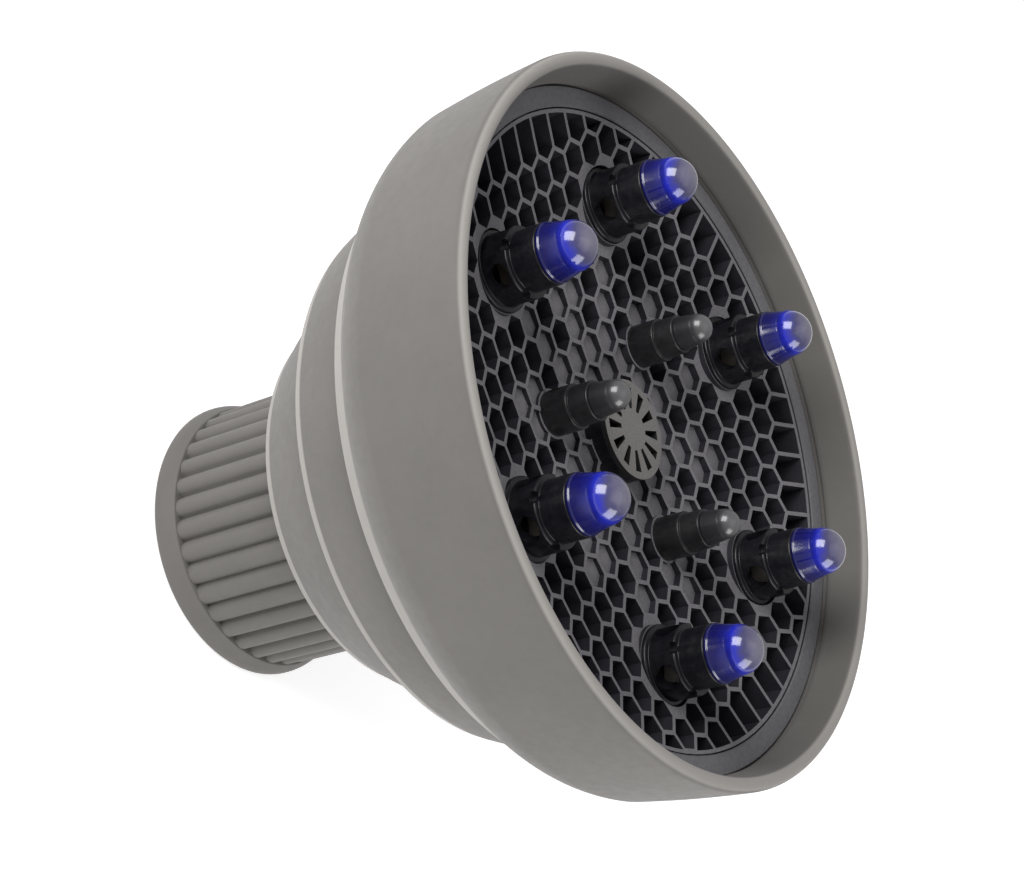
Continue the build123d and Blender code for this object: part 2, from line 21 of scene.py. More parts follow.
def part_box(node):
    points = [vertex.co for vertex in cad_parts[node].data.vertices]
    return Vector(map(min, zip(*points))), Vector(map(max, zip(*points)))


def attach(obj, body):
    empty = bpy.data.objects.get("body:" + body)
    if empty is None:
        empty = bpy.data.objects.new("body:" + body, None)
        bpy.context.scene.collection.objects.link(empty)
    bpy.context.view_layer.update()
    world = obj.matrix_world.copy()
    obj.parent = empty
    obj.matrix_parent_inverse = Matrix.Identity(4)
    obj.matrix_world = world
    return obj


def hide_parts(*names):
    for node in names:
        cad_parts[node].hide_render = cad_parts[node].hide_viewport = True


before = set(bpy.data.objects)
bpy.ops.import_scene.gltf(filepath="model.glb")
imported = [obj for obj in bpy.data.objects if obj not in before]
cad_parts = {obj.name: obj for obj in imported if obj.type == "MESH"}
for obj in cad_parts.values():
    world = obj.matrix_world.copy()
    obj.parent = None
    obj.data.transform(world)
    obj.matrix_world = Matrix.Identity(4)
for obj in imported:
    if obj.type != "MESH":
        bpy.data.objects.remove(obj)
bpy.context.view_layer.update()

log = logging.getLogger("diffuser")

FloatArray = NDArray[np.float64]
IntArray = NDArray[np.int64]
Colour = tuple[float, float, float, float]
Point = tuple[float, float]
Piece = bpy.types.Object
Socket = bpy.types.NodeSocket

MM = 0.001
SHELL_CREASE = 50.0  # degrees: silicone edges that turn by more stay crisp
PRONG_CREASE = 40.0  # degrees: the same for the prongs and tips


class Body(Enum):
    """The rigid bodies that pieces ride on."""

    NECK = "neck"
    REAR = "rear_stage"
    MIDDLE = "middle_stage"
    HEAD = "head"


# ---------------------------------------------------------------- surfaces
def rounded_loop(corners: Sequence[tuple[float, float, float]], steps: int = 5) -> FloatArray:
    """Closed outline in the (radius, height) plane with every corner rounded.

    Each corner is replaced by a quadratic curve B(t) = (1-t)^2 a + 2t(1-t) c + t^2 b, where a and
    b lie one rounding length before and after the corner c along its two sides.

    Args:
        corners: (radius, height, rounding length) of each corner, in millimetres.
        steps: Points on each rounded corner.

    Returns:
        Array of (radius, height) points in metres.
    """
    data = np.array(corners, float)
    points, lengths = data[:, :2], data[:, 2]
    before = np.roll(points, 1, axis=0) - points
    after = np.roll(points, -1, axis=0) - points
    size_before = np.linalg.norm(before, axis=1)
    size_after = np.linalg.norm(after, axis=1)
    reach = np.minimum(lengths, 0.49 * np.minimum(size_before, size_after))
    a = points + before / size_before[:, None] * reach[:, None]
    b = points + after / size_after[:, None] * reach[:, None]
    t = np.linspace(0.0, 1.0, steps)[None, :, None]
    curve = (1 - t) ** 2 * a[:, None] + 2 * t * (1 - t) * points[:, None] + t**2 * b[:, None]
    return curve.reshape(-1, 2) * MM


def arc(centre: Point, radius: float, start: float, end: float, steps: int) -> FloatArray:
    """Points on a circle, (r, z) = centre + radius (cos a, sin a), a from start to end degrees."""
    a = np.radians(np.linspace(start, end, steps))
    return np.column_stack([centre[0] + radius * np.cos(a), centre[1] + radius * np.sin(a)]) * MM


def bend(start: Point, pull: Point, end: Point, steps: int) -> FloatArray:
    """Points on the curve B(t) = (1-t)^2 a + 2t(1-t) b + t^2 c.

    Args:
        start: (radius, height) of the first point, a, in millimetres.
        pull: Point that the curve leans towards, b.
        end: Last point, c.
        steps: Number of points.

    Returns:
        Array of (radius, height) points in metres.
    """
    t = np.linspace(0.0, 1.0, steps)[:, None]
    a, b, c = np.array(start), np.array(pull), np.array(end)
    return ((1 - t) ** 2 * a + 2 * t * (1 - t) * b + t**2 * c) * MM


def grid_faces(rows: int, columns: int, wrap_rows: bool, wrap_columns: bool) -> IntArray:
    """Quads of a grid of vertices numbered row by row.

    Args:
        rows: Number of rows of vertices.
        columns: Number of vertices in a row.
        wrap_rows: Whether the last row joins the first.
        wrap_columns: Whether the last column joins the first.

    Returns:
        Array of four vertex numbers for each quad.
    """
    i = np.arange(rows if wrap_rows else rows - 1)[:, None]
    j = np.arange(columns if wrap_columns else columns - 1)[None, :]
    up, right = (i + 1) % rows, (j + 1) % columns
    quads = [i * columns + j, i * columns + right, up * columns + right, up * columns + j]
    return np.stack(np.broadcast_arrays(*quads), axis=-1).reshape(-1, 4)


def make_mesh(name: str, vertices: FloatArray, faces: Sequence[Sequence[int]]) -> Piece:
    """Makes a smooth-shaded object from arrays, closes its seams and turns its faces outwards.

    Args:
        name: Name of the object.
        vertices: Points in metres.
        faces: Vertex numbers of each face.

    Returns:
        The object, linked to the scene, at the origin.
    """
    mesh = bpy.data.meshes.new(name)
    mesh.from_pydata(vertices.tolist(), [], [list(map(int, face)) for face in faces])
    work = bmesh.new()
    work.from_mesh(mesh)
    bmesh.ops.remove_doubles(work, verts=work.verts, dist=2e-7)
    bmesh.ops.dissolve_degenerate(work, edges=work.edges, dist=1e-8)
    bmesh.ops.recalc_face_normals(work, faces=work.faces)
    work.to_mesh(mesh)
    work.free()
    mesh.shade_smooth()
    piece = bpy.data.objects.new(name, mesh)
    bpy.context.scene.collection.objects.link(piece)
    return piece


def sharpen(piece: Piece, degrees: float = 35.0) -> Piece:
    """Keeps edges that turn by more than an angle crisp in a smooth-shaded piece."""
    piece.data.set_sharp_from_angle(angle=math.radians(degrees))
    return piece


def turn_profile(profile: FloatArray, segments: int) -> FloatArray:
    """Surface (r cos a, r sin a, z) of a profile carried round the Z axis.

    Args:
        profile: (radius, height) points in metres.
        segments: Steps round the axis.

    Returns:
        Points in metres, a row round the axis for each point of the profile.
    """
    a = np.linspace(0, 2 * np.pi, segments, endpoint=False)
    r, z = profile[:, 0][:, None], profile[:, 1][:, None]
    return np.stack([r * np.cos(a), r * np.sin(a), z + 0 * a], axis=-1).reshape(-1, 3)


def lathe(name: str, profile: FloatArray, segments: int = 256, closed: bool = True) -> Piece:
    """Solid of revolution about the Z axis.

    Args:
        name: Name of the object.
        profile: (radius, height) points in metres.
        segments: Steps round the axis.
        closed: True for a loop that stays off the axis, False for a curve with both ends on it.

    Returns:
        The new object.
    """
    vertices = turn_profile(profile, segments)
    faces = grid_faces(len(profile), segments, wrap_rows=closed, wrap_columns=True)
    return make_mesh(name, vertices, faces)


def move_mesh(piece: Piece, x: float, y: float, z: float) -> Piece:
    """Moves a piece's points, in metres, leaving its object at the origin."""
    piece.data.transform(Matrix.Translation((x, y, z)))
    return piece


def cut(piece: Piece, cutters: Sequence[Piece]) -> Piece:
    """Cuts closed shapes out of a piece and removes them.

    Args:
        piece: The piece to cut.
        cutters: Closed objects to take away.

    Returns:
        The cut piece.
    """
    for cutter in cutters:
        tool = piece.modifiers.new("cut", "BOOLEAN")
        tool.operation, tool.solver, tool.object = "DIFFERENCE", "EXACT", cutter
    bpy.context.view_layer.update()
    depsgraph = bpy.context.evaluated_depsgraph_get()
    result = bpy.data.meshes.new_from_object(piece.evaluated_get(depsgraph))
    piece.modifiers.clear()
    piece.data = result
    for cutter in cutters:
        bpy.data.objects.remove(cutter)
    return piece


def rod(name: str, start: Vector, end: Vector, radius: float, sides: int = 48) -> Piece:
    """Closed round rod: two rings radius * (u cos a + v sin a) about its line, joined and capped.

    Args:
        name: Name of the object.
        start: Middle of one end, in metres.
        end: Middle of the other end.
        radius: Radius in metres.
        sides: Number of flat sides.

    Returns:
        The new object.
    """
    line = (end - start).normalized()
    u = line.orthogonal().normalized()
    v = line.cross(u)
    a = np.linspace(0, 2 * np.pi, sides, endpoint=False)[:, None]
    ring = (np.cos(a) * np.array(u) + np.sin(a) * np.array(v)) * radius
    vertices = np.concatenate([ring + np.array(start), ring + np.array(end)])
    side_faces = grid_faces(2, sides, wrap_rows=False, wrap_columns=True).tolist()
    caps = [list(range(sides)), list(range(2 * sides - 1, sides - 1, -1))]
    return make_mesh(name, vertices, side_faces + caps)


# ---------------------------------------------------------------- finishes
class Nodes:
    """Short way to write the node tree of one material."""

    def __init__(self, name: str) -> None:
        """Starts a material with a plain Principled surface.

        Args:
            name: Name of the material.
        """
        self.material = bpy.data.materials.new(name)
        self.material.use_nodes = True
        self.tree = self.material.node_tree
        self.shader = self.tree.nodes["Principled BSDF"]
        self.coordinates = self.add("ShaderNodeTexCoord").outputs["Object"]

    def add(self, kind: str, **values: object) -> bpy.types.Node:
        """Adds a node and sets its properties and the default values of its inputs.

        Args:
            kind: Blender's name for the node.
            **values: Property values; a name that isn't a property is an input's name.

        Returns:
            The new node.
        """
        node = self.tree.nodes.new(kind)
        for key, value in values.items():
            if hasattr(node, key):
                setattr(node, key, value)
            else:
                node.inputs[key.replace("_", " ")].default_value = value
        return node

    def link(self, start: Socket, end: Socket) -> None:
        """Joins an output to an input."""
        self.tree.links.new(start, end)

    def noise(self, scale: float, detail: float = 3.0, roughness: float = 0.55) -> Socket:
        """Cloudy noise over the object.

        Args:
            scale: Cells for each metre.
            detail: Number of finer layers.
            roughness: Strength of each finer layer.

        Returns:
            Value from 0 to 1.
        """
        node = self.add("ShaderNodeTexNoise", Scale=scale, Detail=detail, Roughness=roughness)
        self.link(self.coordinates, node.inputs["Vector"])
        return node.outputs["Fac"]

    def ramp(self, value: Socket, stops: Sequence[tuple[float, Colour]]) -> Socket:
        """Colour that follows a value.

        Args:
            value: Value from 0 to 1.
            stops: (value, colour) pairs, rising.

        Returns:
            The colour.
        """
        node = self.add("ShaderNodeValToRGB")
        while len(node.color_ramp.elements) < len(stops):
            node.color_ramp.elements.new(0.5)
        for element, (place, colour) in zip(node.color_ramp.elements, stops):
            element.position, element.color = place, colour
        self.link(value, node.inputs["Fac"])
        return node.outputs["Color"]

    def remap(
        self, value: Socket, low: float, high: float, to_low: float, to_high: float
    ) -> Socket:
        """Value moved from one range to another and held inside it.

        Args:
            value: The value.
            low: Start of its range.
            high: End of its range.
            to_low: What the start becomes.
            to_high: What the end becomes.

        Returns:
            The moved value.
        """
        node = self.add("ShaderNodeMapRange")
        sockets = ("From Min", "From Max", "To Min", "To Max")
        for name, number in zip(sockets, (low, high, to_low, to_high)):
            node.inputs[name].default_value = number
        self.link(value, node.inputs["Value"])
        return node.outputs["Result"]

    def mix(self, share: Socket, a: object, b: object) -> Socket:
        """Blend of two colours.

        Args:
            share: 0 for the first colour, 1 for the second.
            a: First colour, a socket or four numbers.
            b: Second colour.

        Returns:
            The blend.
        """
        node = self.add("ShaderNodeMix", data_type="RGBA")
        self.link(share, node.inputs["Factor"])
        for index, value in ((6, a), (7, b)):
            if isinstance(value, Socket):
                self.link(value, node.inputs[index])
            else:
                node.inputs[index].default_value = value
        return node.outputs[2]

    def product(self, a: Socket, b: Socket) -> Socket:
        """One value times another.

        Args:
            a: First value.
            b: Second value.

        Returns:
            The product.
        """
        node = self.add("ShaderNodeMath", operation="MULTIPLY")
        self.link(a, node.inputs[0])
        self.link(b, node.inputs[1])
        return node.outputs[0]

    def height(self) -> Socket:
        """Height along the object's Z axis.

        Returns:
            Height in metres.
        """
        node = self.add("ShaderNodeSeparateXYZ")
        self.link(self.coordinates, node.inputs["Vector"])
        return node.outputs["Z"]

    def facing_up(self) -> Socket:
        """How far the surface faces +Z.

        Returns:
            1 on a level top, 0 on upright walls.
        """
        geometry = self.add("ShaderNodeNewGeometry")
        parts = self.add("ShaderNodeSeparateXYZ")
        self.link(geometry.outputs["Normal"], parts.inputs["Vector"])
        return parts.outputs["Z"]

    def bump(self, layers: Sequence[tuple[Socket, float, float]]) -> None:
        """Stacks bump layers on the surface.

        Args:
            layers: (height value, strength, distance in metres) of each layer.
        """
        previous = None
        for value, strength, distance in layers:
            node = self.add("ShaderNodeBump", Strength=strength, Distance=distance)
            self.link(value, node.inputs["Height"])
            if previous is not None:
                self.link(previous.outputs["Normal"], node.inputs["Normal"])
            previous = node
        self.link(previous.outputs["Normal"], self.shader.inputs["Normal"])

    def set(self, **values: object) -> None:
        """Sets the shader's own sockets, with underscores for spaces in their names."""
        for key, value in values.items():
            self.shader.inputs[key.replace("_", " ")].default_value = value


@dataclass(frozen=True)
class SiliconeFinish:
    """Matte warm grey moulded silicone with a powdery surface and edge bands painted lighter as
    painted light.

    edges holds the (lowest, highest) heights, in millimetres, of the bands painted lighter as
    painted light where the edges catch light, and edge_softness how far each fades, in millimetres.
    cloud, powder, grain and dimple are the patterns' cells for each metre.
    """

    edges: tuple[Point, ...] = ()
    dark: Colour = (0.090, 0.085, 0.079, 1.0)
    light: Colour = (0.102, 0.096, 0.089, 1.0)
    # painted light: the lighter colour of the edge bands stands in for light caught by the edges
    painted_edge_light: Colour = (0.232, 0.220, 0.206, 1.0)
    roughness: float = 0.62
    cloud: float = 38.0
    powder: float = 420.0
    grain: float = 2600.0
    dimple: float = 160.0
    edge_softness: float = 0.25

    def build(self, name: str) -> bpy.types.Material:
        """Makes the material: two close greys clouded over a fine grain, with bands of painted
        light.

        Args:
            name: Name of the material.

        Returns:
            The material.
        """
        n = Nodes(name)
        clouds = n.remap(n.noise(self.cloud, detail=5.0), 0.3, 0.7, 0.0, 1.0)
        tone = n.mix(clouds, self.dark, self.light)
        soft = self.edge_softness * MM
        # painted light: each band mixes in the lighter colour between its heights
        for low, high in self.edges:
            rise = n.remap(n.height(), low * MM - soft, low * MM + soft, 0.0, 1.0)
            fall = n.remap(n.height(), high * MM - soft, high * MM + soft, 1.0, 0.0)
            tone = n.mix(n.product(rise, fall), tone, self.painted_edge_light)
        n.link(tone, n.shader.inputs["Base Color"])
        powder = n.noise(self.powder, detail=4.0)
        rough = n.remap(powder, 0.3, 0.7, self.roughness - 0.06, self.roughness + 0.07)
        n.link(rough, n.shader.inputs["Roughness"])
        grain, dimples = n.noise(self.grain, detail=2.0), n.noise(self.dimple)
        n.bump([(grain, 0.22, 0.12 * MM), (dimples, 0.10, 0.6 * MM)])
        n.set(Specular_IOR_Level=0.3, Sheen_Weight=0.08, Sheen_Roughness=0.5)
        return n.material


@dataclass(frozen=True)
class GrilleFinish:
    """Dark grey moulded plastic, painted lighter on faces that turn up and darker on walls: painted
    light and painted shade.
    """

    # wall is the painted shade colour for walls, top the painted light colour for faces that turn
    # up
    wall: Colour = (0.018, 0.017, 0.022, 1.0)
    top: Colour = (0.152, 0.147, 0.158, 1.0)
    grain: float = 1800.0

    def build(self, name: str) -> bpy.types.Material:
        """Makes the material, painted lighter where the surface faces up: painted light on tops,
        painted shade on walls.

        Args:
            name: Name of the material.

        Returns:
            The material.
        """
        n = Nodes(name)
        # painted light and shade: faces turned up get the light top colour, walls the dark shade
        # colour
        up = n.remap(n.facing_up(), 0.35, 0.9, 0.0, 1.0)
        speckle = n.remap(n.noise(self.grain, detail=3.0), 0.35, 0.65, 0.75, 1.0)
        n.link(n.mix(n.product(up, speckle), self.wall, self.top), n.shader.inputs["Base Color"])
        rough = n.remap(n.noise(300.0), 0.3, 0.7, 0.42, 0.58)
        n.link(rough, n.shader.inputs["Roughness"])
        n.bump([(n.noise(self.grain, detail=2.0), 0.35, 0.00015)])
        n.set(Specular_IOR_Level=0.3)
        return n.material


@dataclass(frozen=True)
class BlackPlasticFinish:
    """Satin black plastic with a faint moulding ripple."""

    colour: Colour = (0.0028, 0.0029, 0.0048, 1.0)
    worn: Colour = (0.0060, 0.0060, 0.0085, 1.0)
    roughness: float = 0.34

    def build(self, name: str) -> bpy.types.Material:
        """Makes the material.

        Args:
            name: Name of the material.

        Returns:
            The material.
        """
        n = Nodes(name)
        cloud = n.remap(n.noise(240.0, detail=4.0), 0.35, 0.65, 0.0, 1.0)
        n.link(n.mix(cloud, self.colour, self.worn), n.shader.inputs["Base Color"])
        rough = n.remap(n.noise(700.0), 0.3, 0.7, self.roughness - 0.08, self.roughness + 0.1)
        n.link(rough, n.shader.inputs["Roughness"])
        n.bump([(n.noise(900.0), 0.12, 0.0002)])
        n.set(Specular_IOR_Level=0.38)
        return n.material


@dataclass(frozen=True)
class TipFinish:
    """Translucent tip: a deep skirt, a bright band of painted light where light gathers, a crown
    painted lighter as a painted highlight, and a painted glow.
    """

    stops: tuple[tuple[float, Colour], ...]
    low: float
    high: float
    # strength of the painted glow
    glow: float
    roughness: float

    def build(self, name: str) -> bpy.types.Material:
        """Makes the material from a colour that follows height up the tip; the same colour glows, a
        painted glow.

        Args:
            name: Name of the material.

        Returns:
            The material.
        """
        n = Nodes(name)
        rise = n.remap(n.height(), self.low, self.high, 0.0, 1.0)
        swirl = n.remap(n.noise(330.0, detail=3.0), 0.3, 0.7, -0.05, 0.05)
        place = n.add("ShaderNodeMath", operation="ADD")
        n.link(rise, place.inputs[0])
        n.link(swirl, place.inputs[1])
        tone = n.ramp(place.outputs[0], self.stops)
        n.link(tone, n.shader.inputs["Base Color"])
        # painted glow: the tip's colour is also emitted, though the tip is no lamp
        n.link(tone, n.shader.inputs["Emission Color"])
        n.set(Roughness=self.roughness, Emission_Strength=self.glow)
        n.set(Coat_Weight=0.45, Coat_Roughness=0.12)
        n.bump([(n.noise(1200.0), 0.08, 0.0001)])
        return n.material


@dataclass(frozen=True)
class PlainFinish:
    """Evenly lit studio paper."""

    colour: Colour = (0.8, 0.8, 0.8, 1.0)
    glow: float = 0.50

    def build(self) -> bpy.types.Material:
        """Makes the material: white paper that also gives a little light of its own.

        Returns:
            The material.
        """
        n = Nodes("studio_paper")
        n.set(Base_Color=self.colour, Roughness=0.9)
        n.set(Emission_Color=(1.0, 0.99, 1.0, 1.0), Emission_Strength=self.glow)
        return n.material


# ---------------------------------------------------------------- silicone body
@dataclass
class SiliconeBody:
    """Fluted neck and three stepped shells, with the thin fold webs between them. Millimetres."""

    bore: float = 25.0
    bead: float = 32.2
    bead_edge: float = 2.2
    bead_top: float = 5.4
    root: float = 29.0
    rib: float = 2.4
    rib_sink: float = 0.7
    ribs: int = 36
    ribbed_top: float = 40.0
    neck_top: float = 45.2
    collar: float = 32.0
    flange: float = 38.8
    wall: float = 2.2
    rim: float = 77.8
    shoulder: Point = (75.9, 96.5)
    step: Point = (69.4, 87.2)
    lip: float = 1.65
    small_bow: float = 0.9
    rim_top: float = 122.0
    # (piece, heights of its bands painted lighter): painted light on the shells' rear edges and the
    # rim's lip
    bands: tuple[tuple[str, tuple[Point, ...]], ...] = (
        ("neck_sleeve", ()),
        ("rear_shell", ((42.0, 44.6),)),
        ("middle_shell", ((65.0, 67.6),)),
        ("front_shell", ((83.0, 87.1), (121.3, 123.0))),
    )
    finishes: dict[str, bpy.types.Material] = field(default_factory=dict)

    def bowed_line(self, start: Point, end: Point, bow: float, share: float) -> FloatArray:
        """Curve p(t) = start + t (end - start), plus a radial bow that peaks at a share of the way.

        The bow is a sine arch over a warped parameter, sin(pi t^w), whose peak lies at the share.

        Args:
            start: (radius, height) of the lower end.
            end: (radius, height) of the upper end.
            bow: Largest radial bow.
            share: Where along the line it is, 0 to 1.

        Returns:
            Points in metres, without the two ends.
        """
        t = np.linspace(0.0, 1.0, 34)[1:-1]
        warp = math.log(0.5) / math.log(share)
        line = np.array(start) + t[:, None] * (np.array(end) - np.array(start))
        line[:, 0] += bow * np.sin(np.pi * t**warp)
        return line * MM

    def shell_profile(self, base: float, base_z: float, top: float, top_z: float) -> FloatArray:
        """Outline of one smaller shell: a sloping band at the rear edge, then a bowed cone.

        Args:
            base: Outside radius at the rear edge.
            base_z: Height of the rear edge.
            top: Outside radius at the front end.
            top_z: Height of the front end.

        Returns:
            Closed profile in metres.
        """
        band, band_z = base + 0.6, base_z + 1.8
        edge = rounded_loop([
            (base - self.wall, base_z + 1.5, 0.0), (base - self.wall, base_z, 0.5),
            (base - 0.2, base_z, 0.8), (band, band_z, 0.3), (band + 0.3, band_z + 0.7, 0.0),
        ])[5:-5]
        end = rounded_loop([
            (top - 0.3, top_z - 1.0, 0.0), (top, top_z, 0.6), (top - self.wall, top_z, 0.6),
            (top - self.wall - 0.3, top_z - 1.0, 0.0),
        ])[5:-5]
        inner_base, inner_top = (base - self.wall, base_z), (top - self.wall, top_z)
        outer = self.bowed_line((band, band_z), (top, top_z), self.small_bow, 0.5)[1:-1]
        inner = self.bowed_line(inner_base, inner_top, self.small_bow, 0.5)[2:-1]
        return np.concatenate([edge, outer, end, inner[::-1]])

    def build_shells(self) -> None:
        """Builds the rear, middle and front shells and rides each on its own stage."""
        rear = lathe("rear_shell_skin", self.shell_profile(42.0, 42.4, 54.3, 67.4))
        middle = lathe("middle_shell_skin", self.shell_profile(58.5, 65.4, 63.4, 85.6))
        self.dress(sharpen(rear, SHELL_CREASE), "rear_shell", Body.REAR)
        self.dress(sharpen(middle, SHELL_CREASE), "middle_shell", Body.MIDDLE)
        band = rounded_loop([
            (66.0, 85.0, 0.0), (65.4, 83.6, 0.5), (67.5, 83.6, 0.5), (*self.step, 0.25),
            (70.7, 88.1, 0.0),
        ])[5:-5]
        shoulder = bend(self.step, (74.15, 90.35), self.shoulder, 16)[1:]
        barrel = self.bowed_line(self.shoulder, (self.rim, self.rim_top - self.lip), 0.25, 0.5)
        roll = arc((self.rim - self.lip, self.rim_top - self.lip), self.lip, 0, 180, 14)
        inside = rounded_loop([
            (74.5, 120.0, 0.0), (73.4, 114.0, 0.25), (73.4, 113.2, 0.25), (73.9, 112.6, 0.1),
            (73.9, 109.1, 0.1), (71.9, 109.1, 0.1), (71.9, 105.9, 0.1), (69.8, 105.9, 0.1),
            (69.8, 104.3, 0.3), (73.7, 96.5, 0.8), (71.3, 91.0, 0.8), (67.2, 87.2, 0.8),
            (65.6, 84.4, 0.0),
        ])[5:-5]
        front = lathe("front_shell_skin", np.concatenate([band, shoulder, barrel, roll, inside]))
        self.dress(sharpen(front, SHELL_CREASE), "front_shell", Body.HEAD)

    def build_webs(self) -> None:
        """Builds the thin fold webs at the shells' rear edges, with soft rolled inner lips."""
        webs = (
            ("fold_web_front", "front_shell", 65.5, 63.9, 83.6, Body.HEAD),
            ("fold_web_middle", "middle_shell", 56.4, 54.8, 65.4, Body.MIDDLE),
            ("fold_web_rear", "rear_shell", 39.9, 39.3, 42.4, Body.REAR),
        )
        for node, shell, outer, inner, base, body in webs:
            top = base + 1.0
            outline = [(inner, base, 0.2), (outer, base, 0.1), (outer, top, 0.1), (inner, top, 0.2)]
            self.finishes[node] = self.finishes[shell]
            self.dress(lathe(f"{node}_skin", rounded_loop(outline), 192), node, body)

    def rib_rise(self, angle: FloatArray) -> FloatArray:
        """Height of the ribs over the root: sqrt(R^2 - x^2) less the sink, never below 0.

        R is the rib's radius and x is the distance across a rib from its middle, at the radius
        of the rib's centre.

        Args:
            angle: Angle round the neck, in radians.

        Returns:
            Height in millimetres.
        """
        turn = angle * self.ribs / (2 * np.pi)
        pitch = 2 * np.pi * (self.root - self.rib_sink) / self.ribs
        x = (turn - np.floor(turn) - 0.5) * pitch
        crown = np.sqrt(np.clip(self.rib**2 - x**2, 0, None)) - self.rib_sink
        return np.clip(crown, 0, None)

    def build_neck(self) -> None:
        """Builds the neck as one closed grid over angle and profile, with its ribs."""
        shoulder = self.root + 1.9
        lower = rounded_loop([
            (self.bore, 2.0, 0.0), (self.bore, 0.0, 0.8), (self.bead, 0.0, 1.0),
            (self.bead, self.bead_edge, 1.2), (shoulder, self.bead_top, 0.3),
            (shoulder - 0.6, self.bead_top + 0.05, 0.0),
        ])[5:-4]
        between = np.linspace(7.0, self.ribbed_top - 0.8, 14)
        z = np.concatenate([[5.5, 5.75, 6.2], between, [39.6, 39.95]])
        ribbed = np.column_stack([np.full(len(z), self.root), z]) * MM
        upper = rounded_loop([
            (self.root, self.ribbed_top + 0.05, 0.0), (self.collar, self.ribbed_top + 0.1, 0.8),
            (self.collar, 42.9, 0.5), (self.flange, 43.8, 0.4), (self.flange, self.neck_top, 0.5),
            (self.bore, self.neck_top, 0.8), (self.bore, 43.0, 0.0),
        ])[5:-5]
        profile = np.concatenate([lower, ribbed, upper])
        share = np.zeros(len(profile))
        share[len(lower):len(lower) + len(z)] = np.clip((z - 5.4) / 0.1, 0, 1)
        segments = self.ribs * 20
        angle = np.linspace(0, 2 * np.pi, segments, endpoint=False)[None, :]
        radius = profile[:, :1] + share[:, None] * self.rib_rise(angle) * MM
        height = profile[:, 1:] + 0 * angle
        vertices = np.stack([radius * np.cos(angle), radius * np.sin(angle), height], axis=-1)
        faces = grid_faces(len(profile), segments, wrap_rows=True, wrap_columns=True)
        neck = make_mesh("neck_skin", vertices.reshape(-1, 3), faces)
        self.dress(sharpen(neck, SHELL_CREASE), "neck_sleeve", Body.NECK)

    def dress(self, piece: Piece, node: str, body: Body) -> None:
        """Gives a piece the silicone finish and lets it stand for its CAD node.

        Args:
            piece: The piece.
            node: Name of the CAD node.
            body: Body that the piece rides on.
        """
        piece.data.materials.append(self.finishes[node])
        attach(piece, body.value)
        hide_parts(node)
        log.info("silicone: %s", piece.name)

    def build(self) -> None:
        """Builds the whole silicone body."""
        for node, edges in self.bands:
            self.finishes[node] = SiliconeFinish(edges=edges).build(f"silicone_{node}")
        self.build_neck()
        self.build_shells()
        self.build_webs()


# ---------------------------------------------------------------- grille, ring and hub
@dataclass
class Grille:
    """Honeycomb panel, its retaining ring and the vented hub: exact CAD shapes, dressed."""

    def build(self) -> None:
        """Dresses the CAD nodes of the grille."""
        moulded = GrilleFinish().build("grille_plastic")
        # ring and cap: the same painted light on faces turning up and painted shade on walls
        ring = GrilleFinish(
            wall=(0.030, 0.031, 0.033, 1.0), top=(0.145, 0.142, 0.151, 1.0), grain=1100.0
        ).build("ring_plastic")
        cap = GrilleFinish(
            wall=(0.012, 0.012, 0.013, 1.0), top=(0.160, 0.155, 0.148, 1.0)
        ).build("cap_plastic")
        hub = BlackPlasticFinish().build("hub_plastic")
        for node, finish in (
            ("honeycomb_panel", moulded), ("retaining_ring", ring),
            ("vent_cap", cap), ("centre_hub", hub),
        ):
            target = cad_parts[node]
            target.data.materials.clear()
            target.data.materials.append(finish)
            log.info("grille: %s", node)


